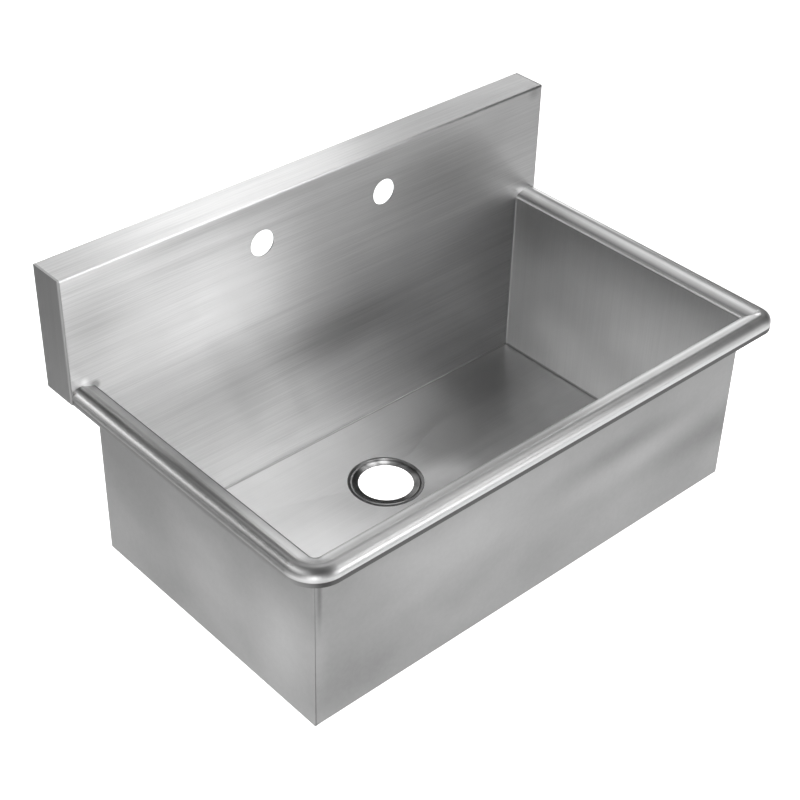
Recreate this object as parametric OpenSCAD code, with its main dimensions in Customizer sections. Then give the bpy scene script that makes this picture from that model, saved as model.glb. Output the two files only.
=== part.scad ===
// Wall-hung utility sink: a single bowl folded and welded from stainless sheet,
// with a boxed backsplash, a rolled rim on three sides and a pressed drain seat.
// X runs to the right seen from the front, Y into the wall, Z up. The back of the
// sink touches the wall at Y = 0. The origin is the middle of the hanger's screw line.

/* [Sheet] */
// Thickness of the stainless sheet
sheet_t = 1.5; // [1:0.1:2.5]
// Inside radius of the folds along the backsplash
fold_in = 1.5; // [0.5:0.1:4]
// Inside radius where the back and front walls turn into the floor
cove_r = 1.5; // [1:0.5:12]
// Radius of the ground outer edges of the bowl's two sides
edge_r = 1.4; // [0.4:0.1:1.5]

/* [Backsplash] */
// Distance by which each end of the backsplash stands out past the rim
splash_past = 2.5; // [0:0.5:20]
// Depth of the backsplash, from its face to the wall
splash_d = 53; // [40:1:80]
// Rise of the backsplash above the bowl's walls
splash_rise = 166.5; // [120:0.5:260]
// Depth of the backsplash's two ends below the top of the bowl's walls
splash_drop = 9.5; // [4:0.5:30]
// Height of the flange that turns down behind the top and hangs on the wall bracket
hook_h = 25; // [18:1:40]
// Width of the flange that turns in along the back of each end
end_flange_w = 20; // [12:1:28]

/* [Bowl] */
// Outside width of the bowl
bowl_w = 720; // [560:2:900]
// Distance from the wall to the outside of the front of the bowl
bowl_front = 464; // [380:2:600]
// Height at which the walls start to turn into the rim
wall_h = 254.5; // [150:0.5:350]
// Width of the flat strip that each wall's lower fold leaves along the floor
land_w = 2; // [1:1:20]
// Fall of the floor, from its edges to the middle of the drain
floor_fall = 4; // [2:0.5:8]
// Radius of the ground welds in the inner corners
weld_r = 2.5; // [1.5:0.5:4]

/* [Rim] */
// Width of the rim, from the inner wall face to its outer edge
rim_w = 35; // [30:0.5:45]
// Radius over which the wall turns outwards into the rim
lip_r = 6; // [4:0.5:10]
// Rise of the rim's top between its two rolls, in degrees
rim_rise = 22; // [10:1:28]
// Radius of the outer roll
roll_r = 12; // [8:0.5:14]
// Length of the rim's skirt, from the middle of the outer roll to its lower edge
skirt_l = 11.1; // [5:0.1:30]
// Inside radius of the fold at the foot of the rim
hem_in = 0.5; // [0.3:0.1:1.5]
// Width of the strip folded in under the rim
hem_w = 8; // [4:0.5:12]
// Outside radius of the rim's left front corner, in plan
left_corner_r = 42; // [16:1:60]
// Outside radius of the rim's right front corner, in plan
right_corner_r = 25; // [16:1:60]

/* [Taps] */
// Distance between the two tap holes
tap_spacing = 203.2; // [150:0.1:260]
// Diameter of each tap hole
tap_d = 36.5; // [28:0.5:40]
// Height of the tap holes above the bowl's walls
tap_rise = 103.5; // [40:0.5:140]

/* [Drain] */
// Distance from the wall to the middle of the drain
drain_y = 181; // [160:1:270]
// Diameter of the drain hole
drain_d = 76; // [40:1:115]
// Width of the seat's flat ring around the hole
seat_ring = 9.3; // [5:0.1:20]
// Depth of the flat ring below the seat's outer edge
seat_depth = 3; // [2:0.5:6]
// Length of the seat's collar, below the seat
collar_h = 8; // [4:0.5:12]

/* [Wall bracket] */
// Distance from the outer screw holes to the ends of the wall bracket
hanger_end = 25.4; // [10:0.2:50]
// Height of the wall bracket's leg, below the seat that carries the sink
hanger_leg = 46; // [36:1:50]
// Thickness of the wall bracket
hanger_t = 2; // [1.5:0.5:4]
// Height of the bracket's lip above its seat
hanger_lip = 16; // [8:1:20]
// Distance between the outer pair of screw holes
screw_outer = 609.6; // [450:0.1:700]
// Distance between the inner pair of screw holes
screw_inner = 406.4; // [200:0.1:430]
// Diameter of the screw holes
screw_d = 7; // [5:0.5:10]
// Distance of the screw line below the bracket's seat
screw_drop = 24; // [16:1:28]

/* [Hidden] */

// Overrun of cuts, and the clearances round the drain seat and the hook flange
over = 1;
seat_gap = 0.1;
hook_gap = 0.5;

// Steps in a quarter of a fold, and facets of the round holes
fold_steps = 8;
round_fn = 96;

// Outside radii of the folds
fold_r = sheet_t + fold_in;
hem_r = sheet_t + hem_in;

// Width of the ties, and their depth under the sheet's faces. A tie is a bar inside the
// sheet, across the line where two parts of one piece meet, so that they stay one piece at
// any size.
tie_w = sheet_t / 2;
tie_in = (sheet_t - tie_w) / 2;

// Halves and inner faces that several pieces share
outer_half = bowl_w / 2;
inner_half = outer_half - sheet_t;
splash_half = inner_half + rim_w + splash_past;
seam_half = splash_half - fold_r;
front_inner = bowl_front - sheet_t;
floor_back = splash_d + cove_r + land_w;
floor_front = front_inner - cove_r - land_w;

// Heights above the bowl's lower edge
splash_h = wall_h + splash_rise;
splash_low = wall_h - splash_drop;
tap_h = wall_h + tap_rise;
hook_z = splash_h - hook_h;
screw_z = hook_z - screw_drop;

// Rim outline: the roll's middle lies where the rising top meets it without a kink
rim_dir = 90 + rim_rise;
roll_u = rim_w - roll_r;
lip_end = [lip_r + lip_r * cos(rim_dir), wall_h + lip_r * sin(rim_dir)];
roll_start_u = roll_u + roll_r * cos(rim_dir);
roll_z = lip_end[1] + (roll_start_u - lip_end[0]) * tan(rim_rise) - roll_r * sin(rim_dir);
rim_top = roll_z + roll_r;
apron_h = roll_z - skirt_l;

// Drain seat: a narrow edge, level with the floor at the sides of the hole, a steep step,
// the flat ring and a close fold into the collar
seat_rim = 1.2;
seat_step = 4.5;
collar_in = 0.5;
collar_fold = sheet_t + collar_in;
drain_r = drain_d / 2;
step_r = drain_r + seat_ring;
seat_r = step_r + seat_step + seat_rim;
seat_z = sheet_t - floor_fall * (1 - seat_r / inner_half);

// Radius of the rim's inner edge at a front corner. Below zero the corner is tighter than
// the rim is wide: the inner edges then meet at a mitre, and only the outer part is round.
function corner_in(side) = (side == "left" ? left_corner_r : right_corner_r) - rim_w;

// Points along an arc round c, from angle a0 to angle a1
function arc(c, r, a0, a1, steps = fold_steps) =
    [for (i = [0 : steps]) let (a = a0 + (a1 - a0) * i / steps) c + r * [cos(a), sin(a)]];

function reversed(pts) = [for (i = [len(pts) - 1 : -1 : 0]) pts[i]];

// The seen face of the rim (in = 0) or its hidden face (in = sheet_t), as [out, up]
function rim_face(in) = concat(
    arc([lip_r, wall_h], lip_r - in, 180, rim_dir),
    arc([roll_u, roll_z], roll_r - in, rim_dir, 0),
    arc([rim_w - hem_r, apron_h + hem_r], hem_r - in, 0, -90),
    [[rim_w - hem_r - hem_w, apron_h + in]]);

// The sheet's back part as [y, z]: hook, top, splash face, bowl back and lower fold
function back_face(in) = concat(
    [[-in, hook_z]],
    arc([-fold_r, splash_h - fold_r], fold_r - in, 0, 90),
    arc([fold_r - splash_d, splash_h - fold_r], fold_r - in, 90, 180),
    arc([-splash_d - cove_r, sheet_t + cove_r], cove_r + in, 0, -90),
    [[-floor_back, sheet_t - in]]);

// The sheet's front part as [y, z]: lower fold and front wall
function front_face(in) = concat(
    [[-floor_front, sheet_t - in]],
    arc([cove_r - front_inner, sheet_t + cove_r], cove_r + in, 270, 180),
    [[-front_inner - in, wall_h]]);

// A sheet between its seen face and its hidden face
module sheet_outline(seen, hidden) {
    polygon(concat(seen, reversed(hidden)));
}

module rim_outline() {
    sheet_outline(rim_face(0), rim_face(sheet_t));
}

// Straight rim of a wall that ends at corners with these inner radii, and the tie that
// holds it to the wall
module rim_run(wall_l, from_in, to_in) {
    tie_from = max(from_in, 0) + tie_w;
    tie_to = wall_l - max(to_in, 0) - tie_w;
    translate([0, 0, from_in]) linear_extrude(wall_l - from_in - to_in) rim_outline();
    translate([tie_in, wall_h - tie_w / 2, tie_from]) cube([tie_w, tie_w, tie_to - tie_from]);
}

// Draws a [y, z] outline along X, as wide as w, with its middle at X = 0
module along_x(w) {
    rotate([90, 0, 90]) linear_extrude(w, center = true) children();
}

// Sets the heights above the bowl's lower edge against the screw line
module hung() {
    translate([0, 0, -screw_z]) children();
}

module mirrored(side) {
    mirror([side == "left" ? 1 : 0, 0, 0]) children();
}

// One folded sheet: the backsplash over its full width and the narrower back of the bowl
module back_sheet() {
    ear_w = seam_half - inner_half;
    color("silver") hung() difference() {
        along_x(2 * seam_half) sheet_outline(back_face(0), back_face(sheet_t));
        for (side = ["left", "right"]) mirrored(side)
            translate([inner_half, -floor_back - over, -over])
                cube([ear_w + over, floor_back - splash_d + sheet_t + 2 * over, splash_low + over]);
        for (side = [-1, 1])
            translate([side * tap_spacing / 2, -splash_d - over, tap_h])
                rotate([-90, 0, 0]) cylinder(h = sheet_t + 2 * over, d = tap_d, $fn = round_fn);
    }
}

// Outline of the boxed end as [y, z], drawn smaller by in on every side
module splash_side_outline(in) {
    polygon(concat(
        [[-in, splash_low + in]],
        arc([-fold_r, splash_h - fold_r], fold_r - in, 0, 90),
        arc([fold_r - splash_d, splash_h - fold_r], fold_r - in, 90, 180),
        [[in - splash_d, splash_low + in]]));
}

// Outline of the boxed end as [x, z], drawn smaller by in on its outer and lower sides
module splash_front_outline(in) {
    inner_x = outer_half - over;
    polygon(concat(
        [[inner_x, splash_low + in]],
        arc([splash_half - fold_r, splash_low + fold_r], fold_r - in, -90, 0),
        [[splash_half - in, splash_h], [inner_x, splash_h]]));
}

// Outline of the boxed end as [x, y], drawn smaller by in on its outer sides
module splash_plan_outline(in) {
    inner_x = outer_half - over;
    polygon(concat(
        [[inner_x, in - splash_d]],
        arc([splash_half - fold_r, fold_r - splash_d], fold_r - in, -90, 0),
        arc([splash_half - fold_r, -fold_r], fold_r - in, 0, 90),
        [[inner_x, -in]]));
}

module splash_box(in) {
    intersection() {
        along_x(2 * splash_half) splash_side_outline(in);
        linear_extrude(splash_h) splash_plan_outline(in);
        rotate([90, 0, 0]) linear_extrude(splash_d) splash_front_outline(in);
    }
}

// End of the backsplash: the end plate with its rounded edges, the strip that closes the
// box underneath beside the bowl, and the flange that turns in against the wall and stops
// below the wall bracket. They are what the cuts leave of a closed box.
module splash_end(side) {
    strip_top = splash_low + sheet_t;
    flange_top = hook_z - hanger_leg - hook_gap;
    deep = splash_d + 2 * over;
    high = splash_h - splash_low + 2 * over;
    color("silver") hung() mirrored(side) difference() {
        splash_box(0);
        splash_box(sheet_t);
        translate([0, -splash_d - over, splash_low - over]) cube([outer_half, deep, high]);
        translate([0, -splash_d - over, splash_low - over]) cube([seam_half, sheet_t + over, high]);
        translate([0, -splash_d - over, strip_top])
            cube([splash_half - end_flange_w, deep, high]);
        translate([0, -splash_d - over, flange_top]) cube([seam_half, deep, high]);
    }
}

// Floor: four plane facets that fall to the drain, with creases out to the corners
module floor_panel() {
    edge = [[-inner_half, -floor_back], [inner_half, -floor_back],
        [inner_half, -floor_front], [-inner_half, -floor_front]];
    top = [for (p = edge) [p[0], p[1], sheet_t], [0, -drain_y, sheet_t - floor_fall]];
    points = concat(top, [for (p = top) p - [0, 0, sheet_t]]);
    deep = len(top);
    sides = len(edge);
    facets = [for (i = [0 : sides - 1]) let (j = (i + 1) % sides) each [
        [i, j, sides], [deep + j, deep + i, deep + sides], [i, deep + i, deep + j, j]]];
    color("silver") hung() difference() {
        polyhedron(points = points, faces = facets);
        translate([0, -drain_y, -floor_fall - over])
            cylinder(h = floor_fall + sheet_t + 2 * over, r = seat_r, $fn = round_fn);
    }
}

// Polished drain seat: a level edge, a steep step, a flat ring and a collar
module drain_seat() {
    rim_r = seat_r - seat_gap;
    ring_z = seat_z - seat_depth;
    fold_z = ring_z - collar_fold;
    seen = concat(
        [[rim_r, seat_z], [seat_r - seat_rim, seat_z], [step_r, ring_z]],
        arc([drain_r + collar_fold, fold_z], collar_fold, 90, 180),
        [[drain_r, ring_z - collar_h]]);
    hidden = concat(
        [[rim_r, seat_z - sheet_t], [seat_r - seat_rim - sheet_t / 2, seat_z - sheet_t],
            [step_r, ring_z - sheet_t]],
        arc([drain_r + collar_fold, fold_z], collar_fold - sheet_t, 90, 180),
        [[drain_r + sheet_t, ring_z - collar_h]]);
    color("gainsboro") hung() translate([0, -drain_y, 0])
        rotate_extrude($fn = round_fn) sheet_outline(seen, hidden);
}

// Space on one side of the mitre that starts where the walls meet: behind it (turn = 0)
// for a cut of the front rim, or in front of it (turn = 1) for a cut of the side rim
module mitre_space(side, turn) {
    reach = 2 * rim_w;
    if (corner_in(side) < 0)
        translate([inner_half, -front_inner, wall_h - reach]) rotate([0, 0, -45])
            translate([-over, -turn * reach, 0]) cube([reach, reach, 2 * reach]);
}

// Front of the bowl and the front rim, folded from one sheet
module front_sheet() {
    color("silver") hung() difference() {
        union() {
            along_x(2 * inner_half) sheet_outline(front_face(0), front_face(sheet_t));
            translate([inner_half, -front_inner, 0]) rotate([0, 0, -90]) rotate([90, 0, 0])
                rim_run(2 * inner_half, corner_in("right"), corner_in("left"));
        }
        for (side = ["left", "right"]) mirrored(side) mitre_space(side, 0);
    }
}

// Outline of a bowl side as [y, z], with its lower corners round like the folds
module side_outline() {
    corner_r = cove_r + sheet_t;
    polygon(concat(
        [[-splash_d, wall_h], [-splash_d, splash_low], [sheet_t - splash_d, splash_low]],
        arc([-splash_d - cove_r, corner_r], corner_r, 0, -90),
        arc([cove_r - front_inner, corner_r], corner_r, 270, 180),
        [[-bowl_front, wall_h]]));
}

// Flat side of the bowl, with its front edge and its lower edge ground round
module side_plate() {
    inner_x = inner_half - over;
    intersection() {
        translate([inner_half + sheet_t / 2, 0, 0]) along_x(sheet_t) side_outline();
        linear_extrude(wall_h) polygon(concat(
            [[inner_x, 0], [inner_x, -bowl_front]],
            arc([outer_half - edge_r, edge_r - bowl_front], edge_r, -90, 0),
            [[outer_half, 0]]));
        rotate([90, 0, 0]) linear_extrude(bowl_front) polygon(concat(
            [[inner_x, wall_h], [inner_x, 0]],
            arc([outer_half - edge_r, edge_r], edge_r, -90, 0),
            [[outer_half, wall_h]]));
    }
}

// Side of the bowl and its rim, folded from one sheet
module side_sheet(side) {
    color("silver") hung() mirrored(side) difference() {
        union() {
            side_plate();
            translate([inner_half, -splash_d, 0]) rotate([90, 0, 0])
                rim_run(front_inner - splash_d, 0, corner_in(side));
        }
        mitre_space(side, 1);
    }
}

// Round front corner of the rim. Where its inner edge is round too, a flat web closes the
// gap between it and the square corner of the walls.
module rim_corner(side) {
    in_r = corner_in(side);
    color("silver") hung() mirrored(side) translate([inner_half - in_r, in_r - front_inner, 0]) {
        rotate([0, 0, -90]) rotate_extrude(angle = 90, $fn = round_fn) intersection() {
            translate([in_r, 0]) rim_outline();
            translate([0, apron_h - over]) square([in_r + rim_w + over, rim_top]);
        }
        if (in_r > 0) {
            translate([0, 0, wall_h - sheet_t]) linear_extrude(sheet_t) difference() {
                translate([0, -in_r]) square(in_r);
                circle(r = in_r, $fn = round_fn);
            }
            translate([0, 0, wall_h - tie_w / 2]) linear_extrude(tie_w) intersection() {
                translate([0, -in_r]) square(in_r);
                difference() {
                    circle(r = in_r + tie_in + tie_w, $fn = round_fn);
                    circle(r = in_r + tie_in, $fn = round_fn);
                }
            }
        }
    }
}

// Section of a ground inside weld: a square corner with a round hollow
module weld_section() {
    difference() {
        square(weld_r);
        translate([weld_r, weld_r]) circle(r = weld_r, $fn = round_fn);
    }
}

// Upright welds in the four inner corners of the bowl, from the lower folds up to the rim
// or to the web under a round rim corner
module corner_welds() {
    foot = sheet_t + cove_r;
    color("darkgray") hung() for (side = ["left", "right"]) mirrored(side) {
        web_t = corner_in(side) > 0 ? sheet_t : 0;
        translate([inner_half, -splash_d, foot]) rotate([0, 0, 180])
            linear_extrude(wall_h - foot) weld_section();
        translate([inner_half, -front_inner, foot]) rotate([0, 0, 90])
            linear_extrude(wall_h - web_t - foot) weld_section();
    }
}

// Welds between the floor and the two sides
module floor_welds() {
    run = floor_front - floor_back;
    color("darkgray") hung() for (side = ["left", "right"]) mirrored(side)
        translate([inner_half, -floor_back, sheet_t]) rotate([90, 0, 0])
            linear_extrude(run) mirror([1, 0]) weld_section();
}

// Wall bracket: a leg screwed to the wall, a seat under the sink's hook flange and a lip
module wall_bracket() {
    lip_y = -sheet_t - hook_gap;
    seat_top = hook_z;
    outline = [[0, seat_top - hanger_leg], [0, seat_top], [lip_y, seat_top],
        [lip_y, seat_top + hanger_lip], [lip_y - hanger_t, seat_top + hanger_lip],
        [lip_y - hanger_t, seat_top - hanger_t], [-hanger_t, seat_top - hanger_t],
        [-hanger_t, seat_top - hanger_leg]];
    color("lightslategray") hung() difference() {
        along_x(screw_outer + 2 * hanger_end) polygon(outline);
        for (spread = [screw_outer, screw_inner], side = [-1, 1])
            translate([side * spread / 2, -hanger_t - over, screw_z])
                rotate([-90, 0, 0]) cylinder(h = hanger_t + 2 * over, d = screw_d, $fn = round_fn);
    }
}

back_sheet();
splash_end("left");  // splash_end_left
splash_end("right");  // splash_end_right
floor_panel();
drain_seat();
front_sheet();
side_sheet("left");  // side_left
side_sheet("right");  // side_right
rim_corner("left");  // rim_corner_left
rim_corner("right");  // rim_corner_right
corner_welds();
floor_welds();
wall_bracket();
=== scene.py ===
# %% [markdown]
# This scene dresses a wall-hung utility sink. The sink is folded and welded from stainless
# sheet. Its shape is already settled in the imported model, so Blender adds the finish, a few
# small forms of the rim and the drain, the light and the camera. Loading the model comes
# first, because every piece made here takes its place from it.

# %% Load the sink
import math

import bpy
from mathutils import Matrix, Vector


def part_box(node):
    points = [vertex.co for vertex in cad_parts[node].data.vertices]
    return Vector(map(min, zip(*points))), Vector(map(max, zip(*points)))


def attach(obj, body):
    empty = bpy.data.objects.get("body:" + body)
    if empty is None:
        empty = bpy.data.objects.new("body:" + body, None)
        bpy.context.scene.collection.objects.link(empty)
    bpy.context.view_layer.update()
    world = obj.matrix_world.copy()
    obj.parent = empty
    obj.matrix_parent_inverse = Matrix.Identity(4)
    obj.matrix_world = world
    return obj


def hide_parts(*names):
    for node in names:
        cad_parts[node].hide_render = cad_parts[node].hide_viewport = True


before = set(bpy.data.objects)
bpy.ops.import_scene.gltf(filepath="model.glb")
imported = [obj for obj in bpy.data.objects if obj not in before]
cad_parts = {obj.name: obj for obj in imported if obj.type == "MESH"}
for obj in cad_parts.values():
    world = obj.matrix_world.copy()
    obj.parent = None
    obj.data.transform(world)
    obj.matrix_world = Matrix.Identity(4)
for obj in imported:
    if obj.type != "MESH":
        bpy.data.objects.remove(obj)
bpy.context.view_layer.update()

# %% [markdown]
# The camera stands to the left of the sink, in front of it and above it. Its place and its
# lens were found from the straight edges in the photograph. A long lens keeps those edges
# nearly parallel. The camera is aimed at a point over the drain, then rolled a little.

# %% Set up the camera
CAMERA_PLACE = Vector((-1.20492, -1.49711, 1.08642))
CAMERA_AIM = Vector((0.00426, -0.2, -0.22619))
CAMERA_ROLL = math.radians(1.618)
CAMERA_LENS = 75.717
SENSOR = 36.0

lens = bpy.data.cameras.new("camera")
lens.lens = CAMERA_LENS
lens.sensor_width = SENSOR
camera = bpy.data.objects.new("camera", lens)
bpy.context.scene.collection.objects.link(camera)
bpy.context.scene.camera = camera
aim = (CAMERA_AIM - CAMERA_PLACE).to_track_quat("-Z", "Y").to_matrix().to_4x4()
roll = Matrix.Rotation(CAMERA_ROLL, 4, "Z")
camera.matrix_world = Matrix.Translation(CAMERA_PLACE) @ aim @ roll
print("camera is", round((CAMERA_AIM - CAMERA_PLACE).length, 3), "m from its aim")

# %% [markdown]
# Two small helpers come before any modelling. Blender's operators act on whatever is selected,
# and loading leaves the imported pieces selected. So one helper starts every step from an empty
# selection, and the other makes a single piece the one that the next operators work on.

# %% Pick a piece
def deselect_all():
    if bpy.context.object and bpy.context.object.mode != "OBJECT":
        bpy.ops.object.mode_set(mode="OBJECT")
    bpy.ops.object.select_all(action="DESELECT")


def pick(piece):
    deselect_all()
    piece.select_set(True)
    bpy.context.view_layer.objects.active = piece


print("pieces start from an empty selection")

# %% [markdown]
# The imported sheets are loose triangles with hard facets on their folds. A sheet could be
# modelled again from a plane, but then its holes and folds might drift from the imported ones.
# So each sheet is copied, and the copy is cleaned as a modeller would do it by hand: merge the
# doubled corners, then join the triangles of each flat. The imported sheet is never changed.

# %% Copy and clean a sheet
MERGE_GAP = 0.00001
FLAT_ANGLE = math.radians(0.5)


def clean_copy(node, name):
    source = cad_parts[node]
    piece = bpy.data.objects.new(name, source.data.copy())
    bpy.context.scene.collection.objects.link(piece)
    piece.data.materials.clear()
    pick(piece)
    bpy.ops.mesh.customdata_custom_splitnormals_clear()
    bpy.ops.object.mode_set(mode="EDIT")
    bpy.ops.mesh.select_all(action="SELECT")
    bpy.ops.mesh.remove_doubles(threshold=MERGE_GAP)
    bpy.ops.mesh.dissolve_limited(angle_limit=FLAT_ANGLE)
    bpy.ops.object.mode_set(mode="OBJECT")
    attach(piece, "root")
    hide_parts(node)
    print(name, "has", len(piece.data.polygons), "faces")
    return piece


print("there are", len(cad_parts), "packed pieces")

# %% [markdown]
# A folded sheet is smooth round its folds and sharp at its cut edges. Shading by angle does
# that without new faces, and weighted normals keep the large flats flat right up to the folds.
# The bowl's floor is pressed with creases of only one or two degrees, so it gets a much
# smaller angle. An edge can also be made sharp by a rule of its place.

# %% Shade the folds
FOLD_ANGLE = math.radians(32)
CREASE_ANGLE = math.radians(0.4)


def shade_folds(piece, angle=FOLD_ANGLE, is_sharp=None):
    pick(piece)
    bpy.ops.object.shade_smooth_by_angle(angle=angle)
    if is_sharp:
        for edge in piece.data.edges:
            if all(is_sharp(piece.data.vertices[end].co) for end in edge.vertices):
                edge.use_edge_sharp = True
    weights = piece.modifiers.new("flat faces first", "WEIGHTED_NORMAL")
    weights.keep_sharp = True
    bpy.ops.object.modifier_apply(modifier=weights.name)


print("folds are smooth up to", round(math.degrees(FOLD_ANGLE)), "degrees")

# %% [markdown]
# The next names stand for places that several steps need. They could be typed in, but here
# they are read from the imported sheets, so they stay true if the sink changes. Only the gauge of
# the sheet and the radius of the rim's outer roll are written here.

# %% Find the walls and the rim
ROLL_RADIUS = 0.012
SHEET_THICKNESS = 0.0015
SIDES = {"left": -1, "right": 1}

inner_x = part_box("floor_panel")[1].x
splash_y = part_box("splash_end_left")[0].y
front_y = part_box("corner_welds")[0].y
wall_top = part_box("corner_welds")[1].z
rim_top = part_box("side_left")[1].z
rim_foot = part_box("rim_corner_left")[0].z
floor_edge_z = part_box("floor_panel")[1].z
rim_width = -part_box("side_left")[0].x - inner_x
roll_out = rim_width - ROLL_RADIUS
roll_z = rim_top - ROLL_RADIUS
corner_middle = {
    "left": Vector((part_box("rim_corner_left")[1].x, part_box("rim_corner_left")[1].y, 0)),
    "right": Vector((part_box("rim_corner_right")[0].x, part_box("rim_corner_right")[1].y, 0)),
}
seat_low, seat_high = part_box("drain_seat")
seat_middle = Vector(((seat_low.x + seat_high.x) / 2, (seat_low.y + seat_high.y) / 2, seat_high.z))
print("bowl is", round(2 * inner_x, 4), "by", round(splash_y - front_y, 4), "m inside")

# %% [markdown]
# The rim is one profile that runs along the left side, round a corner, along the front, round
# the other corner and back along the right side. One function tells how far any place lies
# outside the bowl, whichever part of that run it belongs to. A run is called front, left,
# right, corner left or corner right.

# %% Measure out from the walls
OUTER_FACE = SHEET_THICKNESS * 1.2


def corner_side(run):
    return run.removeprefix("corner ")


def corner_inner_radius(run):
    return inner_x - abs(corner_middle[corner_side(run)].x)


def out_from_walls(place, run):
    if run == "front":
        return front_y - place.y
    if run in SIDES:
        return abs(place.x) - inner_x
    middle = corner_middle[corner_side(run)]
    return math.hypot(place.x - middle.x, place.y - middle.y) - corner_inner_radius(run)


def on_rim(place, run):
    return out_from_walls(place, run) > OUTER_FACE or place.z > wall_top


print("rim is", round(rim_width, 4), "m wide and", round(rim_top - rim_foot, 4), "m deep")

# %% [markdown]
# Under its outer roll the real rim doesn't hang straight down. Its skirt leans in a little and ends
# in a narrow folded bead. The lean makes the dark line under the bright roll, and the bead makes
# the thin bright line under that. Both lines are painted as well: the dark one as painted shade on
# the skirt, and on the front the bright one as a painted highlight on the bead. A bump in the
# finish would change only the shading and not the outline, so the form is real. Level planes cut
# the copy, and each level is then moved in, straight for a wall and towards the middle of the bend
# for a corner. Bisect does the cutting, because it cuts any faces, where a loop cut follows rows of
# four-sided ones.

# %% Lean the rim's skirt
SKIRT_BEND_Z = roll_z - 0.003
BEAD_TOP_Z = rim_foot + 0.0014
BEAD_MIDDLE_Z = rim_foot + 0.0008
SKIRT_LEAN = 0.0019
BEAD_SET_IN = 0.0009
CLEAR_OF_WALL = SHEET_THICKNESS * 2
SAME_LEVEL = 0.0002
SAME_BEND = 0.0001


def select_points(piece, test):
    bpy.ops.object.mode_set(mode="EDIT")
    bpy.ops.mesh.select_mode(type="VERT")
    bpy.ops.mesh.select_all(action="DESELECT")
    bpy.ops.object.mode_set(mode="OBJECT")
    for point in piece.data.vertices:
        point.select = test(point.co)
    bpy.ops.object.mode_set(mode="EDIT")


def move_in(run, distance):
    if run == "front":
        bpy.ops.transform.translate(value=(0, distance, 0))
    elif run in SIDES:
        bpy.ops.transform.translate(value=(-SIDES[run] * distance, 0, 0))
    else:
        radius = corner_inner_radius(run) + rim_width
        smaller = (radius - distance) / radius
        middle = corner_middle[corner_side(run)]
        bpy.ops.transform.resize(value=(smaller, smaller, 1), center_override=middle)


def on_skirt(place, run):
    return out_from_walls(place, run) > roll_out and place.z < roll_z


def lean_skirt(piece, run):
    def at_bead_top(place):
        return on_skirt(place, run) and abs(place.z - BEAD_TOP_Z) < SAME_LEVEL

    def below_bead_top(place):
        return on_skirt(place, run) and place.z < BEAD_TOP_Z - SAME_LEVEL

    pick(piece)
    for height in (SKIRT_BEND_Z, BEAD_TOP_Z, BEAD_MIDDLE_Z):
        select_points(piece, lambda place: out_from_walls(place, run) > CLEAR_OF_WALL)
        bpy.ops.mesh.bisect(plane_co=(0, 0, height), plane_no=(0, 0, 1))
    select_points(piece, at_bead_top)
    move_in(run, SKIRT_LEAN)
    select_points(piece, below_bead_top)
    move_in(run, BEAD_SET_IN)
    bpy.ops.object.mode_set(mode="OBJECT")


def at_bend(place):
    return abs(place.z - SKIRT_BEND_Z) < SAME_BEND


skirt_angle = math.atan2(SKIRT_LEAN, SKIRT_BEND_Z - BEAD_TOP_Z)
print("skirt leans", round(math.degrees(skirt_angle)), "degrees")

# %% [markdown]
# A brushed finish has a direction. To let a material follow it, each sheet gets a UV map with
# U along the brushing and V across it, both in metres. An automatic unwrap would turn and
# stretch every piece in its own way, so the map is worked out from places instead. On a flat
# this is only a choice of two axes. Round the rim, V is the way round the outer roll, and at a
# corner U is the way round the bend.

# %% Map the grain
def rim_grain(place, run):
    out = out_from_walls(place, run)
    round_roll = math.atan2(place.z - roll_z, out - roll_out) * ROLL_RADIUS
    if run == "front":
        return place.x, round_roll
    if run in SIDES:
        return place.y, round_roll
    middle = corner_middle[corner_side(run)]
    turn = math.atan2(place.y - middle.y, place.x - middle.x)
    if turn > math.pi / 2:
        turn -= 2 * math.pi
    return turn * rim_width, round_roll


def map_grain(piece, grain_at):
    layer = piece.data.uv_layers.new(name="grain")
    for face in piece.data.polygons:
        for corner in face.loop_indices:
            place = piece.data.vertices[piece.data.loops[corner].vertex_index].co
            layer.data[corner].uv = grain_at(place, face)
    print(piece.name, "has its grain mapped")


top_of_roll = math.pi / 2 * ROLL_RADIUS
print("rim's top is", round(top_of_roll, 4), "m round the roll from its outermost line")

# %% [markdown]
# The finishes are built from nodes, and the same few steps come back in each of them. They
# could be wired one by one, but small helpers keep each finish short enough to read. The first
# ones start a bare metal, add a node with its settings and join two sockets.

# %% Start a finish
def new_finish(name):
    finish = bpy.data.materials.new(name)
    finish.use_nodes = True
    steel = finish.node_tree.nodes["Principled BSDF"]
    steel.inputs["Metallic"].default_value = 1.0
    return finish, steel


def add_node(finish, kind, **values):
    node = finish.node_tree.nodes.new(kind)
    for key, value in values.items():
        if hasattr(node, key):
            setattr(node, key, value)
        else:
            node.inputs[key.replace("_", " ").title()].default_value = value
    return node


def join(finish, out_socket, in_socket):
    finish.node_tree.links.new(out_socket, in_socket)


def object_coordinates(finish):
    return add_node(finish, "ShaderNodeTexCoord").outputs["Object"]


print("a finish starts from a bare metal")

# %% [markdown]
# Uneven patterns come from noise. The noise is stretched along the grain for brushing and
# left round for clouds, and then turned into a range of greys or of roughness. Two patterns
# can be blended into one. A photograph of steel would show its own light as well, so none is
# used. A Mix node has its own sockets for numbers, 2 and 3, and for colours, 6 and 7.

# %% Make patterns
PATTERN_LOW = 0.3
PATTERN_HIGH = 0.7


def cloud(finish, coordinates, waves, detail=3.0):
    """Noise on the given coordinates, with so many waves per metre along each axis."""
    mapping = add_node(finish, "ShaderNodeMapping")
    mapping.inputs["Scale"].default_value = waves
    noise = add_node(finish, "ShaderNodeTexNoise", scale=1.0, detail=detail, roughness=0.55)
    join(finish, coordinates, mapping.inputs["Vector"])
    join(finish, mapping.outputs["Vector"], noise.inputs["Vector"])
    return noise.outputs["Fac"]


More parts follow.
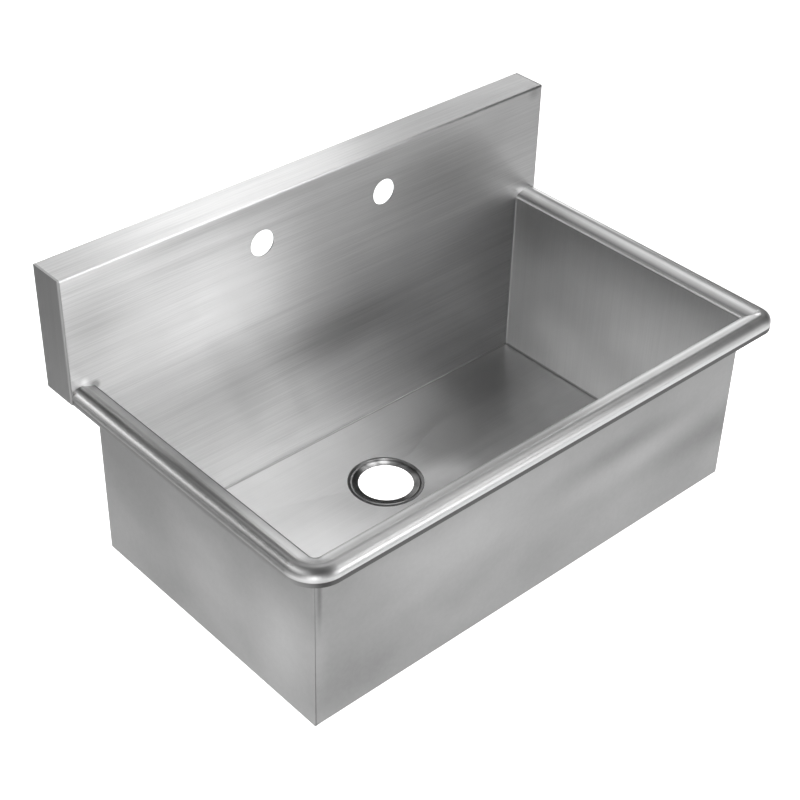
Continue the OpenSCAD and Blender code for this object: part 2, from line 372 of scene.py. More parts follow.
def spread(finish, signal, low, high, start=PATTERN_LOW, end=PATTERN_HIGH, easing="LINEAR"):
    """Turns a signal that runs from start to end into a number between low and high."""
    remap = add_node(finish, "ShaderNodeMapRange", interpolation_type=easing)
    for socket, value in zip(("From Min", "From Max", "To Min", "To Max"), (start, end, low, high)):
        remap.inputs[socket].default_value = value
    join(finish, signal, remap.inputs["Value"])
    return remap.outputs["Result"]


def tint(finish, signal, dark, light):
    """Turns a pattern into greys from dark to light, with room beyond both for the marks."""
    beyond = (light - dark) * PATTERN_LOW / (PATTERN_HIGH - PATTERN_LOW)
    ramp = add_node(finish, "ShaderNodeValToRGB")
    for stop, grey in zip(ramp.color_ramp.elements, (dark - beyond, light + beyond)):
        stop.color = (grey, grey, grey, 1)
    join(finish, signal, ramp.inputs["Fac"])
    return ramp.outputs["Color"]


def blend(finish, first, second, share):
    mix = add_node(finish, "ShaderNodeMix")
    mix.inputs[0].default_value = share
    join(finish, first, mix.inputs[2])
    join(finish, second, mix.inputs[3])
    return mix.outputs[0]


print("patterns run from", PATTERN_LOW, "to", PATTERN_HIGH, "and are counted in waves per metre")

# %% [markdown]
# No sheet is the same grey all over. Small spots beside the rim's welds are darker or lighter, and
# most of the other marks are painted light and shade: wide stretches a little lighter or darker,
# and small painted reflections. An image could hold them, but a short list of marks needs no file
# and can be read. A mark is given by its distance from an anchor on the sink, its reach along each
# axis and how much it lightens the metal at its middle.

# %% Place marks
def spot(x, y, z, reach, change):
    return (x, y, z), (reach, reach, reach), change


def marks_from(anchor, rows):
    return [(anchor + Vector(offset), Vector(reach), change) for offset, reach, change in rows]


def add_marks(finish, signal, marks):
    """Adds the marks to a pattern that tint then turns into a grey."""
    for place, reach, change in marks:
        shrink = Vector(1 / along for along in reach)
        scaled = add_node(finish, "ShaderNodeVectorMath", operation="MULTIPLY")
        scaled.inputs[1].default_value = shrink
        join(finish, object_coordinates(finish), scaled.inputs[0])
        away = add_node(finish, "ShaderNodeVectorMath", operation="DISTANCE")
        away.inputs[1].default_value = place * shrink
        join(finish, scaled.outputs["Vector"], away.inputs[0])
        strength = spread(finish, away.outputs["Value"], change, 0.0, 0.0, 1.0, "SMOOTHSTEP")
        total = add_node(finish, "ShaderNodeMath", operation="ADD")
        join(finish, signal, total.inputs[0])
        join(finish, strength, total.inputs[1])
        signal = total.outputs["Value"]
    return signal


back_middle = Vector((0, splash_y, wall_top))
front_middle = Vector((0, front_y, wall_top))
left_back = Vector((-inner_x, splash_y, wall_top))
right_back = Vector((inner_x, splash_y, wall_top))
over_drain = Vector((seat_middle.x, seat_middle.y, floor_edge_z))
print("marks over the drain are placed from", [round(value, 4) for value in over_drain])

# %% [markdown]
# Brushing and buffing leave fine lines, and light spreads across such lines much more than
# along them. The anisotropy of the metal does this. It follows the grain map, turned by a
# quarter so that the wide spread runs across the lines. A little bump gives the surface tooth.

# %% Follow the grain
QUARTER_TURN = 0.25


def follow_grain(finish, steel, pull):
    """Turns the highlights by the grain map, and gives the map for the patterns to use."""
    tangent = add_node(finish, "ShaderNodeTangent", direction_type="UV_MAP", uv_map="grain")
    join(finish, tangent.outputs["Tangent"], steel.inputs["Tangent"])
    steel.inputs["Anisotropic"].default_value = pull
    steel.inputs["Anisotropic Rotation"].default_value = QUARTER_TURN
    return add_node(finish, "ShaderNodeUVMap", uv_map="grain").outputs["UV"]


def add_tooth(finish, steel, signal, strength, depth):
    bump = add_node(finish, "ShaderNodeBump")
    bump.inputs["Strength"].default_value = strength
    bump.inputs["Distance"].default_value = depth
    join(finish, signal, bump.inputs["Height"])
    join(finish, bump.outputs["Normal"], steel.inputs["Normal"])


print("highlights are turned by", QUARTER_TURN * 360, "degrees to the grain")

# %% [markdown]
# The seen faces are brushed with a fine belt. Plain rough metal would look like grey paint, so
# three patterns make the brushing: fine hairlines, wider bands and faint patches. Hairlines and
# bands are long noise on the grain map, and patches are round noise on the sink itself.

# %% Make the brushed finish
HAIRLINE_WAVES = (7, 620, 1)
BAND_WAVES = (1.6, 95, 1)
PATCH_WAVES = (6, 6, 6)
BAND_SHARE = 0.42


def brushed(name, dark, light, patch_share=0.3, marks=(), smooth=0.32, rough=0.38, pull=1.0):
    finish, steel = new_finish(name)
    grain = follow_grain(finish, steel, pull)
    hairlines = cloud(finish, grain, HAIRLINE_WAVES)
    bands = cloud(finish, grain, BAND_WAVES, detail=5.0)
    patches = cloud(finish, object_coordinates(finish), PATCH_WAVES)
    streaks = blend(finish, hairlines, bands, BAND_SHARE)
    colour = add_marks(finish, blend(finish, streaks, patches, patch_share), marks)
    join(finish, tint(finish, colour, dark, light), steel.inputs["Base Color"])
    join(finish, spread(finish, bands, smooth, rough), steel.inputs["Roughness"])
    add_tooth(finish, steel, streaks, strength=0.12, depth=0.0002)
    print("made", name, "with", len(marks), "marks")
    return finish


print("brushing has", HAIRLINE_WAVES[1], "hairlines and", BAND_WAVES[1], "bands to a metre")

# %% [markdown]
# The backsplash has four spots, beside the rim's welds and at its upper right corner, and four wide
# stretches. The bright spot beside the right weld is a painted reflection of the rim, and the wide
# stretches are painted light and shade. The right wall and the floor have wide stretches only,
# painted light and shade as well. Each of the four kinds of brushed sheet gets its own pair of
# greys, because one pair for all would be flatter than the real sink. The end caps' darker pair is
# painted shade.

# %% Mark and make the brushed sheets
SPLASH_SPOTS_AND_PAINTED_LIGHT = marks_from(back_middle, (
    # a painted reflection of the rim beside the right weld, a dark spot at the upper right corner,
    # and a dark and a bright spot beside the left weld
    spot(0.364, 0, 0.0075, 0.014, 0.5),
    spot(0.38, 0, 0.1605, 0.016, -0.3),
    spot(-0.361, 0, 0.0055, 0.01, -0.9),
    spot(-0.374, 0, 0.0165, 0.009, 0.5),
    # painted light and shade: four wide lighter and darker stretches
    ((-0.36, 0, 0.0975), (0.09, 0.1, 0.09), -0.25),
    ((-0.15, 0, 0.0475), (0.16, 0.1, 0.15), 0.55),
    ((0.23, 0, 0.0975), (0.18, 0.1, 0.12), -0.4),
    ((0.02, 0, -0.0825), (0.17, 0.1, 0.07), -0.5),
))
# painted light and shade: wide lighter and darker stretches on the right wall
RIGHT_WALL_PAINTED_LIGHT = marks_from(right_back, (
    ((0, -0.027, -0.0325), (0.1, 0.1, 0.08), -0.5),
    ((0, -0.227, -0.1825), (0.1, 0.09, 0.06), -0.3),
    ((0, -0.087, -0.1925), (0.1, 0.07, 0.07), 0.4),
    ((0, -0.187, -0.1025), (0.1, 0.12, 0.07), 0.15),
))
# painted light and shade: wide lighter and darker stretches on the floor
FLOOR_PAINTED_LIGHT = marks_from(over_drain, (
    ((0.14, 0.021, 0.0005), (0.13, 0.09, 0.1), -0.7),
    ((0.27, 0.081, 0.0005), (0.16, 0.09, 0.1), -0.6),
    ((0.07, -0.044, 0.0005), (0.07, 0.045, 0.1), 0.8),
    ((-0.11, -0.059, 0.0005), (0.12, 0.1, 0.1), 0.45),
))
BRUSHED = brushed("brushed sheet", 0.66, 0.8, 0.5, RIGHT_WALL_PAINTED_LIGHT)
# the end caps are the same steel in darker greys: painted shade
SHADED_BRUSHED_END = brushed("brushed end cap in painted shade", 0.44, 0.54)
BRUSHED_SPLASH = brushed("brushed backsplash", 0.6, 0.83, 0.22, SPLASH_SPOTS_AND_PAINTED_LIGHT)
BRUSHED_FLOOR = brushed("brushed floor", 0.7, 0.86, 0.6, FLOOR_PAINTED_LIGHT, 0.3, 0.36, 0.9)

# %% [markdown]
# The outer faces and the hidden ones keep the dull finish that the sheet has from the mill. It
# shows no grain, only soft clouds and a fine tooth, and it reflects evenly in all directions, so it
# needs no grain map. The front has a dark stripe and a small dark spot near its left edge. Its
# other marks, and those on the left side, are wide soft stretches of painted light and shade.

# %% Make the mill finish
CLOUD_WAVES = (4, 4, 6)
SPECK_WAVES = (160, 160, 160)
SPECK_SHARE = 0.12


def mill(name, dark, light, smooth, rough, marks=()):
    finish, steel = new_finish(name)
    place = object_coordinates(finish)
    clouds = cloud(finish, place, CLOUD_WAVES)
    specks = cloud(finish, place, SPECK_WAVES, detail=2.0)
    colour = add_marks(finish, blend(finish, clouds, specks, SPECK_SHARE), marks)
    join(finish, tint(finish, colour, dark, light), steel.inputs["Base Color"])
    join(finish, spread(finish, clouds, smooth, rough), steel.inputs["Roughness"])
    add_tooth(finish, steel, specks, strength=0.04, depth=0.0003)
    print("made", name, "with", len(marks), "marks")
    return finish


FRONT_MARKS_AND_PAINTED_LIGHT = marks_from(front_middle, (
    ((-0.353, 0, -0.0425), (0.006, 0.006, 0.09), -0.5),
    ((-0.357, 0, -0.2545), (0.005, 0.005, 0.007), -0.9),
    # painted light and shade: wide lighter and darker stretches on the front
    ((0.14, 0, -0.1005), (0.2, 0.1, 0.03), -0.22),
    ((0.32, 0, -0.1625), (0.2, 0.1, 0.045), -0.28),
    ((0.16, 0, -0.1325), (0.16, 0.1, 0.04), 0.2),
    ((-0.15, 0, -0.0925), (0.19, 0.1, 0.09), 0.33),
    ((-0.31, 0, -0.2125), (0.15, 0.1, 0.09), -0.32),
))
# painted light and shade: wide lighter and darker stretches on the left side
LEFT_SIDE_PAINTED_LIGHT = marks_from(left_back, (
    ((0, -0.047, -0.1025), (0.05, 0.14, 0.12), -0.24),
    ((0, -0.217, -0.1525), (0.05, 0.12, 0.1), 0.2),
    ((0, -0.357, -0.1525), (0.03, 0.1, 0.11), 0.3),
))
MILL = mill("mill sheet with painted light and shade", 0.35, 0.5, 0.28, 0.34, FRONT_MARKS_AND_PAINTED_LIGHT + LEFT_SIDE_PAINTED_LIGHT)

# %% [markdown]
# The bright and dark bands across the rolled rim are painted light: painted highlights where the
# roll would mirror the lamps and painted reflections where it would mirror darker parts of the
# room. More lamps could make such bands too, but they would change the rest of the sink. So each
# side has its own list of greys, set from the bands that the photograph shows there. A list gives
# places across the rim and the grey that the metal has at each. A place is a distance in
# millimetres round the roll: 0 is the outermost line, 19 the top and 36 the bowl's edge. At a
# corner one list passes into the next along the bend.

# %% Spread the painted light bands across the rim
LIGHT_BANDS_START = -0.010
LIGHT_BANDS_END = 0.038
MILLIMETRE = 0.001


def light_band_ramp(finish, across, light_bands):
    ramp = add_node(finish, "ShaderNodeValToRGB")
    stops = ramp.color_ramp.elements
    stops.remove(stops[-1])
    for millimetres, grey in sorted(light_bands):
        position = (millimetres * MILLIMETRE - LIGHT_BANDS_START) / (LIGHT_BANDS_END - LIGHT_BANDS_START)
        stop = stops.new(position)
        stop.color = (grey, grey, grey, 1)
    stops.remove(stops[0])
    join(finish, across, ramp.inputs["Fac"])
    return ramp.outputs["Color"]


# paints the rim's highlight and reflection bands, passing from one list to the next round a corner
def paint_light_bands(finish, grain, light_bands, next_light_bands, bend):
    split = add_node(finish, "ShaderNodeSeparateXYZ")
    join(finish, grain, split.inputs["Vector"])
    across = spread(finish, split.outputs["Y"], 0.0, 1.0, LIGHT_BANDS_START, LIGHT_BANDS_END)
    grey = light_band_ramp(finish, across, light_bands)
    if not next_light_bands:
        return grey
    mix = add_node(finish, "ShaderNodeMix", data_type="RGBA")
    join(finish, spread(finish, split.outputs["X"], 0.0, 1.0, *bend), mix.inputs[0])
    join(finish, grey, mix.inputs[6])
    join(finish, light_band_ramp(finish, across, next_light_bands), mix.inputs[7])
    return mix.outputs[2]


print("wear runs from", LIGHT_BANDS_START, "to", LIGHT_BANDS_END, "m round the roll")

# %% [markdown]
# The rim is rolled and then buffed along its length, so it's smoother than the brushed faces
# but far from a mirror. Its lines run along the rim, with a few faint crosswise marks left by
# the rolls. The strong anisotropy of the brushed finish would blur the bands round so tight a
# roll, so the rim has a finish of its own with much less of it.

# %% Make the buffed rim finish
LINE_WAVES = (9, 700, 1)
CROSSWISE_WAVES = (160, 25, 1)
CROSSWISE_SHARE = 0.4
RIM_PULL = 0.3


def buffed(name, light_bands, next_light_bands=None, bend=None, smooth=0.34, rough=0.4):
    finish, steel = new_finish(name)
    grain = follow_grain(finish, steel, RIM_PULL)
    lines = cloud(finish, grain, LINE_WAVES, detail=4.0)
    crosswise = cloud(finish, grain, CROSSWISE_WAVES)
    shade = tint(finish, blend(finish, lines, crosswise, CROSSWISE_SHARE), 0.92, 1.0)
    colour = add_node(finish, "ShaderNodeVectorMath", operation="MULTIPLY")
    join(finish, shade, colour.inputs[0])
    # the base grey carries the painted highlight and reflection bands across the rim
    join(finish, paint_light_bands(finish, grain, light_bands, next_light_bands, bend), colour.inputs[1])
    join(finish, colour.outputs["Vector"], steel.inputs["Base Color"])
    join(finish, spread(finish, crosswise, smooth, rough), steel.inputs["Roughness"])
    print("made", name, "with", len(light_bands), "greys across the rim")
    return finish


print("buffing has", LINE_WAVES[1], "lines to a metre across the rim")

# %% [markdown]
# The front is brightest on its outermost line. The left side has a bright slope, a dark top and a
# narrow bright line outside it. The right side has a bright slope, a thin dark valley beside the
# bowl and a light roll. On the front and the left the steel is darker at the bowl's edge. All these
# bands are painted highlights and painted reflections. Round the corners U counts from minus half a
# turn at the left side up to zero at the right side, and the painted greys change over the first
# part of each bend.

# %% Buff the rim and paint its light bands
# painted highlights and reflections across the rim, as (millimetres round the roll, grey); on the
# front, -8 is a painted highlight on the bead
FRONT_LIGHT_BANDS = (
    (36, 0.4), (34, 0.5), (32, 0.72), (27, 0.5), (21, 0.41), (17, 0.62), (14, 0.47), (10, 0.42),
    (7, 0.6), (4, 0.8), (2, 0.98), (-2, 0.98), (-3, 0.65), (-8, 0.98),
)
LEFT_LIGHT_BANDS = (
    (36, 0.14), (34.9, 0.3), (34, 0.9), (31, 0.98), (26, 0.98), (23, 0.6), (21, 0.36), (18, 0.3),
    (15, 0.6), (12.5, 0.98), (10.5, 0.8), (8, 0.34), (6, 0.28), (4, 0.58), (1, 0.82), (-3, 0.6),
)
RIGHT_LIGHT_BANDS = (
    (36, 0.98), (35.3, 0.85), (34.6, 0.28), (33.5, 0.3), (31, 0.55), (27, 0.94), (25, 0.88),
    (23, 0.48), (21, 0.52), (19, 0.8), (14, 0.72), (8, 0.78), (4, 0.85), (0, 0.5), (-3, 0.5),
)
RIGHT_CORNER_LIGHT_BANDS = ((36, 0.6), (31, 0.6), (25, 0.85), (19, 0.7), (10, 0.85), (0, 0.95), (-3, 0.8))
BEND_START = -math.pi * rim_width
LEFT_BEND = (BEND_START, BEND_START * 0.65)
RIGHT_BEND = (BEND_START / 2, BEND_START / 4)
BUFFED_WITH_LIGHT_BANDS = {
    "front": buffed("buffed front rim with painted light bands", FRONT_LIGHT_BANDS),
    "left": buffed("buffed left rim with painted light bands", LEFT_LIGHT_BANDS, smooth=0.3, rough=0.36),
    "right": buffed("buffed right rim with painted light bands", RIGHT_LIGHT_BANDS),
    "corner left": buffed("buffed left corner", LEFT_LIGHT_BANDS, FRONT_LIGHT_BANDS, LEFT_BEND, 0.4, 0.46),
    "corner right": buffed("buffed right corner", FRONT_LIGHT_BANDS, RIGHT_CORNER_LIGHT_BANDS, RIGHT_BEND),
}

# %% [markdown]
# The skirt under the roll is painted darker than the rest of the rim, most of all at the front:
# painted shade under the roll. It's the same finish with a shorter list of greys, since two greys
# are enough for such a narrow strip. At the left corner the side's greys pass into the front's.

# %% Paint shade on the skirts
# painted shade under the roll, as (millimetres round the roll, grey)
SIDE_SKIRT_SHADE = ((-9, 0.48), (-3, 0.38))
FRONT_SKIRT_SHADE = ((-9, 0.17), (-3, 0.15))
SHADED_SIDE_SKIRT = buffed("side skirt in painted shade", SIDE_SKIRT_SHADE)
SHADED_FRONT_SKIRT = buffed("front skirt in painted shade", FRONT_SKIRT_SHADE)
SHADED_SKIRTS = {
    "front": SHADED_FRONT_SKIRT,
    "left": SHADED_SIDE_SKIRT,
    "right": SHADED_SIDE_SKIRT,
    "corner left": buffed("corner skirt", SIDE_SKIRT_SHADE, FRONT_SKIRT_SHADE, LEFT_BEND),
    "corner right": SHADED_FRONT_SKIRT,
}

# %% [markdown]
# The drain seat is pressed and polished, so it's the smoothest part. It mirrors the dark lower part
# of the back wall and looks nearly black beside the bright floor, but for a bright arc beyond the
# hole, which marks give as a painted reflection. The floor's welds are ground and stay darker than
# the sheet, the upright ones are brushed bright, partly as a painted highlight along the corners,
# and the wall hanger is dull galvanised steel. All three are the mill finish with other greys,
# because they show no grain either.

# %% Make the finishes of the small parts
POLISH_WAVES = (70, 70, 70)
POLISH_HIGH = 0.38


def polished(name, dark, light, smooth, rough, marks):
    finish, steel = new_finish(name)
    clouds = cloud(finish, object_coordinates(finish), POLISH_WAVES, detail=2.0)
    colour = add_marks(finish, spread(finish, clouds, PATTERN_LOW, POLISH_HIGH), marks)
    join(finish, tint(finish, colour, dark, light), steel.inputs["Base Color"])
    join(finish, spread(finish, clouds, smooth, rough), steel.inputs["Roughness"])
    print("made", name, "with", len(marks), "marks")
    return finish


SEAT_PAINTED_ARC_AND_SPOTS = marks_from(over_drain, (
    # painted reflection: the bright arc beyond the hole
    spot(-0.004, 0.038, -0.0045, 0.011, 0.9),
    spot(0.011, 0.04, -0.0045, 0.011, 0.9),
    spot(0.027, 0.035, -0.0045, 0.011, 0.9),
    # three slightly darker spots
    spot(0.041, 0.016, -0.0045, 0.02, -0.2),
    spot(0.045, -0.006, -0.0045, 0.02, -0.22),
    spot(0.032, -0.032, -0.0045, 0.02, -0.15),
))
POLISHED = polished("polished seat with painted reflection", 0.26, 0.6, 0.06, 0.1, SEAT_PAINTED_ARC_AND_SPOTS)
WELD = mill("ground weld", 0.48, 0.58, 0.3, 0.4)
# the upright welds are brushed and painted lighter, partly a painted highlight along the corners
UPRIGHT_WELD_AND_HIGHLIGHT = mill("brushed weld with painted highlight", 0.72, 0.86, 0.3, 0.4)
GALVANISED = mill("galvanised bracket", 0.4, 0.5, 0.4, 0.5)

# %% [markdown]
# Each sheet now gets its finishes, face by face. A list holds the finishes of a piece, and a
# small rule picks one for every face from its place or from the way it points. Faces could be
# picked by hand as well, but a rule still holds when the sink's sizes change.

# %% Paint a piece
STEP_OUT = 0.001


def paint(piece, finishes, which):
    for finish in finishes:
        piece.data.materials.append(finish)
    for face in piece.data.polygons:
        face.material_index = which(face)


def rim_is_hidden(face, run):
    """True on the rim's under side, whose normal points towards the middle of the roll."""
    out = out_from_walls(face.center, run)
    further = out_from_walls(face.center + face.normal * STEP_OUT, run) - out
    up = face.normal.z * STEP_OUT
    return further * (out - roll_out) + up * (face.center.z - roll_z) < 0


def is_skirt(face, run):
    return on_skirt(face.center, run) and BEAD_TOP_Z < face.center.z < SKIRT_BEND_Z


def rim_finish(face, run):
    """The place in the list of finishes: 1 mill, 2 buffed with painted light bands, 3 skirt in
    painted shade.
    """
    if rim_is_hidden(face, run):
        return 1
    return 3 if is_skirt(face, run) else 2


def rim_finishes(run):
    return [BRUSHED, MILL, BUFFED_WITH_LIGHT_BANDS[run], SHADED_SKIRTS[run]]


print("rim has", len(rim_finishes("front")), "finishes to pick from")

# %% [markdown]
# The backsplash and the bowl's back wall are one sheet, brushed from left to right on the
# seen side. The sheet's hidden side, towards the wall, keeps its mill finish. The fold at its
# foot is ground like the floor's welds. The way a face points tells the sides apart, which is
# surer than its place on so thin a sheet.

# %% Dress the backsplash sheet
SEAM_HEIGHT = 0.006
TURNED = 0.1

splash = clean_copy("back_sheet", "backsplash_sheet")
shade_folds(splash)
map_grain(splash, lambda place, face: (place.x, place.z - place.y))


def splash_finish(face):
    if face.normal.y - face.normal.z > TURNED:
        return 1
    return 2 if face.center.z < floor_edge_z + SEAM_HEIGHT and face.normal.z > TURNED else 0


paint(splash, [BRUSHED_SPLASH, MILL, WELD], splash_finish)

# %% [markdown]
# The floor falls gently to the drain from all four sides. Where the slopes meet there are
# faint creases from the drain to the corners, which only the small shading angle keeps.

# %% Dress the floor
bowl_floor = clean_copy("floor_panel", "bowl_floor")
shade_folds(bowl_floor, CREASE_ANGLE)
map_grain(bowl_floor, lambda place, face: (place.x, place.y))
paint(bowl_floor, [BRUSHED_FLOOR, MILL], lambda face: int(face.normal.z < TURNED))

# %% [markdown]
# The front wall and its rim are one folded sheet: brushed inside the bowl, mill finish
# outside, and buffed on the seen side of the rim. One material could change by place, but a
# finish for each face keeps all of them simple.

# %% Dress the front
front = clean_copy("front_sheet", "front_wall_and_rim")
lean_skirt(front, "front")
shade_folds(front, is_sharp=lambda place: at_bend(place) and on_skirt(place, "front"))


def front_grain(place, face):
    if on_rim(face.center, "front"):
        return rim_grain(place, "front")
    return place.x, place.z + place.y


def front_finish(face):
    if on_rim(face.center, "front"):
        return rim_finish(face, "front")
    return int(face.normal.y + face.normal.z < 0)


map_grain(front, front_grain)
paint(front, rim_finishes("front"), front_finish)

# %% [markdown]
# The two side walls are made in the same way. Their brushing runs up and down, as if the
# floor's grain went on up the walls. Each side could be dressed in lines of its own, but one
# function for both keeps them alike.

# %% Dress the sides
HALF_TURNED = 0.5


def dress_side(side):
    piece = clean_copy(f"side_{side}", f"{side}_wall_and_rim")
    lean_skirt(piece, side)
    shade_folds(piece, is_sharp=lambda place: at_bend(place) and on_skirt(place, side))

    def grain(place, face):
        return rim_grain(place, side) if on_rim(face.center, side) else (place.z, place.y)

    def finish(face):
        if on_rim(face.center, side):
            return rim_finish(face, side)
        return int(face.normal.x * SIDES[side] > -HALF_TURNED)

    map_grain(piece, grain)
    paint(piece, rim_finishes(side), finish)


for side in SIDES:
    dress_side(side)

# %% [markdown]
# The two front corners of the rim are pressed pieces that are welded in and buffed with the
# rest. Their skirts lean in towards the middle of the bend, so that the dark line runs on
# round the corner.

# %% Dress the rim's corners
def dress_corner(side):
    run = f"corner {side}"
    piece = clean_copy(f"rim_corner_{side}", f"{side}_rim_corner")
    lean_skirt(piece, run)
    shade_folds(piece, is_sharp=lambda place: at_bend(place) and on_skirt(place, run))
    map_grain(piece, lambda place, face: rim_grain(place, run))
    paint(piece, rim_finishes(run), lambda face: rim_finish(face, run))


for side in SIDES:
    dress_corner(side)

# %% [markdown]
# Flat caps close the two ends of the backsplash. They are brushed up and down. The welds and
# the wall hanger need only their finish.

# %% Dress the ends and the small parts
def dress_splash_end(side):
    piece = clean_copy(f"splash_end_{side}", f"{side}_splash_end")
    shade_folds(piece)
    map_grain(piece, lambda place, face: (place.z + place.x * SIDES[side], place.y))
    paint(piece, [SHADED_BRUSHED_END, MILL], lambda face: int(face.normal.x * SIDES[side] < -HALF_TURNED))


def dress_small(node, name, finish):
    piece = clean_copy(node, name)
    shade_folds(piece)
    paint(piece, [finish], lambda face: 0)


for side in SIDES:
    dress_splash_end(side)
dress_small("corner_welds", "upright_welds", UPRIGHT_WELD_AND_HIGHLIGHT)
dress_small("floor_welds", "floor_seam_welds", WELD)
dress_small("wall_bracket", "wall_hanger", GALVANISED)

# %% [markdown]
# The drain seat is a shallow pressed ring. A bare circle is drawn at its outer edge, and the
# edge is then extruded again and again: in over the rounded lip, down a small step, in over
# the flat ring with its fine raised line, down at the hole and back along the under side.
# Each step is a radius and a drop below the seat's edge. Merging the last circle with the
# first closes the ring. A spin would give the same form, but the steps are easier to change.
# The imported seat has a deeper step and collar, and the photograph shows a nearly flat ring.

# %% Model the drain seat
SEAT_STEPS = (
    (0.0526, 0.0), (0.0516, 0.0), (0.0510, 0.0001), (0.0500, 0.0005), (0.0474, 0.0006),
    (0.0470, 0.0004), (0.0464, 0.0004), (0.0460, 0.0006), (0.0396, 0.0008), (0.0384, 0.0010),
    (0.0380, 0.0018), (0.0388, 0.0018), (0.0400, 0.0016), (0.0496, 0.0016), (0.0520, 0.0012),
    (0.0529, 0.0008), (0.0529, 0.0002),
)
SEAT_POINTS = 128

deselect_all()
radius, drop = SEAT_STEPS[0]
bpy.ops.mesh.primitive_circle_add(vertices=SEAT_POINTS, radius=radius, location=seat_middle)
seat = bpy.context.object
seat.name = "strainer_seat"
bpy.ops.object.transform_apply(location=True, rotation=True, scale=True)
bpy.ops.object.mode_set(mode="EDIT")
bpy.ops.mesh.select_all(action="SELECT")
for next_radius, next_drop in SEAT_STEPS[1:] + SEAT_STEPS[:1]:
    bpy.ops.mesh.extrude_edges_move(TRANSFORM_OT_translate={"value": (0, 0, drop - next_drop)})
    grow = next_radius / radius
    bpy.ops.transform.resize(value=(grow, grow, 1), center_override=seat_middle)
    radius, drop = next_radius, next_drop
bpy.ops.mesh.select_all(action="SELECT")
bpy.ops.mesh.remove_doubles(threshold=MERGE_GAP)
bpy.ops.mesh.normals_make_consistent(inside=False)
bpy.ops.object.mode_set(mode="OBJECT")
bpy.ops.object.shade_smooth_by_angle(angle=FOLD_ANGLE)
paint(seat, [POLISHED], lambda face: 0)
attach(seat, "root")
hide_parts("drain_seat")
print("seat has", len(seat.data.polygons), "faces and is", round(seat.dimensions.x, 4), "m wide")

# %% [markdown]
# The stage is a plain product studio. The sink hangs about a metre above a pale floor, at the
# height where such sinks are mounted, so its shadow stays soft and small. A curved backdrop
# would do as well, but a flat floor that glows gives a more even white. The floor shows white
# to the camera and pale grey to anything that mirrors it, and it still takes the light of the
# room.

# %% Lay the floor
FLOOR_Z = -1.0
FLOOR_WIDTH = 18.0
CAMERA_GLOW = 1.05
MIRROR_GLOW = 0.4
GLOWS = (
    ("Is Camera Ray", CAMERA_GLOW),
    ("Is Glossy Ray", MIRROR_GLOW),
    ("Is Transmission Ray", MIRROR_GLOW),
)


def matt_paint(name, grey, gloss=0.5):
    coat = bpy.data.materials.new(name)
    coat.use_nodes = True
    surface = coat.node_tree.nodes["Principled BSDF"]
    surface.inputs["Base Color"].default_value = (grey, grey, grey, 1)
    surface.inputs["Roughness"].default_value = 0.9
    surface.inputs["Specular IOR Level"].default_value = gloss
    return coat


def add_glow(coat, glows):
    """Makes a surface shine only for the kinds of ray that are named."""
    surface = coat.node_tree.nodes["Principled BSDF"]
    ray = add_node(coat, "ShaderNodeLightPath")
    total = None
    for kind, strength in glows:
        glow = add_node(coat, "ShaderNodeMath", operation="MULTIPLY_ADD")
        glow.inputs[1].default_value = strength
        glow.inputs[2].default_value = 0.0
        join(coat, ray.outputs[kind], glow.inputs[0])
        if total:
            join(coat, total, glow.inputs[2])
        total = glow.outputs["Value"]
    surface.inputs["Emission Color"].default_value = (1, 1, 1, 1)
    join(coat, total, surface.inputs["Emission Strength"])


deselect_all()
bpy.ops.mesh.primitive_plane_add(size=FLOOR_WIDTH, location=(0, 0, FLOOR_Z))
floor = bpy.context.object
floor.name = "studio_floor"
floor_paint = matt_paint("studio floor", 0.8, gloss=0.0)
add_glow(floor_paint, GLOWS)
floor.data.materials.append(floor_paint)
print("floor is", round(rim_foot - FLOOR_Z, 2), "m below the rim")

# %% [markdown]
# Polished steel shows its surroundings, so the lamps are placed by what each side of the sink
# mirrors towards the camera. Every lamp is a soft panel that faces the sink. Its direction is
# given as on a compass: the azimuth turns from the sink's right side towards the wall, and
# the elevation rises from the horizon. Brightness is what a mirror would show. A sky picture
# could light the sink too, but single panels can be tuned one by one.

# %% Hang the soft panels
STUDIO_MIDDLE = Vector((0, -0.25, -0.15))
PANEL_DISTANCE = 2.6
WATTS_PER_BRIGHTNESS = math.pi


def soft_panel(name, azimuth, elevation, width, height, brightness):
    turn, rise = math.radians(azimuth), math.radians(elevation)
    out = Vector((math.cos(rise) * math.cos(turn), math.cos(rise) * math.sin(turn), math.sin(rise)))
    lamp = bpy.data.lights.new(name, "AREA")
    lamp.shape = "RECTANGLE"
    lamp.size = width
    lamp.size_y = height
    lamp.energy = brightness * width * height * WATTS_PER_BRIGHTNESS
    panel = bpy.data.objects.new(name, lamp)
    panel.location = STUDIO_MIDDLE + out * PANEL_DISTANCE
    panel.rotation_mode = "QUATERNION"
    panel.rotation_quaternion = (-out).to_track_quat("-Z", "Y")
    panel.visible_camera = False
    bpy.context.scene.collection.objects.link(panel)
    print(name, "gives", round(lamp.energy), "W")


# name, azimuth, elevation, width, height, brightness
soft_panel("front_low_panel", 288, 6, 0.8, 0.7, 5.2)
soft_panel("front_right_panel", 307, 6, 0.9, 0.7, 1.2)
soft_panel("front_high_panel", 302, 36, 0.9, 0.8, 4.3)
soft_panel("right_high_panel", 312, 54, 0.9, 0.8, 0.9)
soft_panel("right_top_panel", 345, 60, 1.0, 0.9, 1.9)
soft_panel("back_right_panel", 42, 18, 0.9, 1.0, 2.3)
soft_panel("back_low_panel", 62, 6, 0.8, 0.5, 9.0)
soft_panel("back_panel", 66, 20, 1.0, 0.6, 4.5)
soft_panel("back_top_panel", 45, 58, 0.9, 0.8, 1.4)
soft_panel("rim_panel", 84, 60, 0.9, 0.6, 1.0)
soft_panel("back_left_panel", 132, 12, 1.3, 0.9, 2.8)
soft_panel("left_panel", 180, 31, 2.1, 1.0, 2.3)
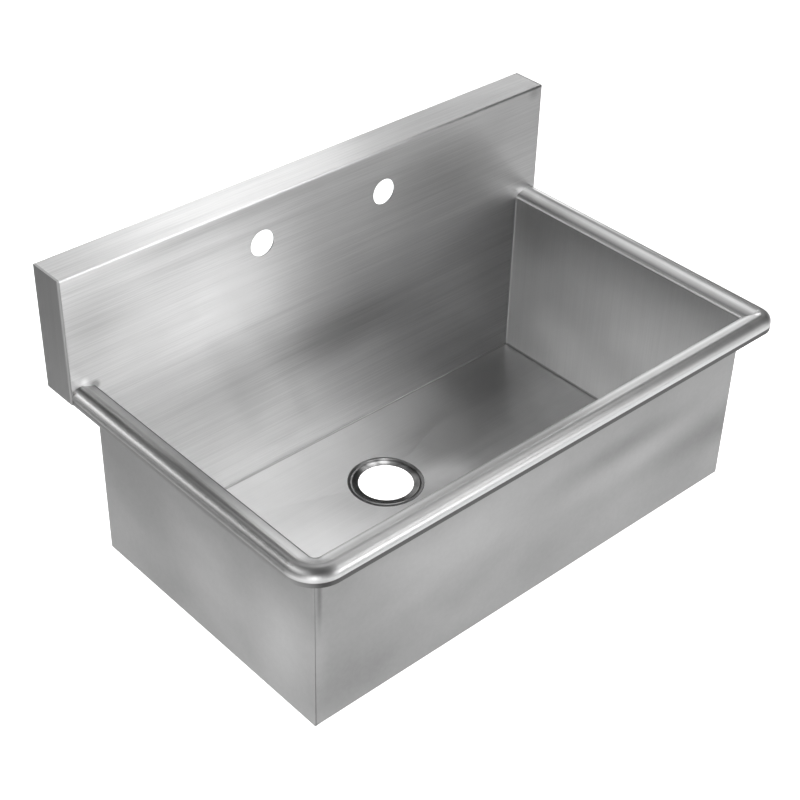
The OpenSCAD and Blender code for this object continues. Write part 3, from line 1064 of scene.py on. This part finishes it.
soft_panel("front_left_panel", 223, 2, 1.0, 0.9, 3.4)

# %% [markdown]
# Steel needs something dark to mirror as well, or it looks like grey paint. Black cards lie on
# the floor just outside the picture, where the lower walls and the rim's skirt see them.

# %% Lay the dark cards
CARD_LIFT = 0.01
CARD_PAINT = matt_paint("black card", 0.02)


def black_card(name, middle_x, middle_y, width, depth):
    deselect_all()
    bpy.ops.mesh.primitive_plane_add(size=1, location=(middle_x, middle_y, FLOOR_Z + CARD_LIFT))
    card = bpy.context.object
    card.name = name
    card.scale = (width, depth, 1)
    card.data.materials.append(CARD_PAINT)
    card.visible_camera = False
    print(name, "covers", round(width * depth, 2), "square metres")


black_card("card_under_camera", -0.5, -1.1, 0.6, 0.6)
black_card("card_front_right", 0.7, -2.4, 1.2, 1.4)
black_card("card_back_left", -1.7, 1.1, 1.3, 1.6)

# %% [markdown]
# The room itself gives a low, even light. It's brighter near the horizon, where a studio has
# pale walls, and darker overhead. Walls could be built, but a background that changes with the
# height of the view does the same. Only the camera sees it as white.

# %% Paint the room
HORIZON_LIGHT = 0.2
ROOM_LIGHT = 0.1
WALLS_END = 0.1
CEILING_START = 0.4

room = bpy.data.worlds.new("studio room")
bpy.context.scene.world = room
room.use_nodes = True
direction = add_node(room, "ShaderNodeTexCoord")
height = add_node(room, "ShaderNodeSeparateXYZ")
join(room, direction.outputs["Generated"], height.inputs["Vector"])
rise = height.outputs["Z"]
wall_light = spread(room, rise, HORIZON_LIGHT, ROOM_LIGHT, WALLS_END, CEILING_START)
sky = room.node_tree.nodes["Background"]
sky.inputs["Color"].default_value = (1, 1, 1, 1)
ray = add_node(room, "ShaderNodeLightPath")
seen_light = add_node(room, "ShaderNodeMath", operation="MAXIMUM")
join(room, wall_light, seen_light.inputs[0])
join(room, ray.outputs["Is Camera Ray"], seen_light.inputs[1])
join(room, seen_light.outputs["Value"], sky.inputs["Strength"])

bpy.context.scene.view_settings.view_transform = "Standard"
print("room light runs from", HORIZON_LIGHT, "down to", ROOM_LIGHT)
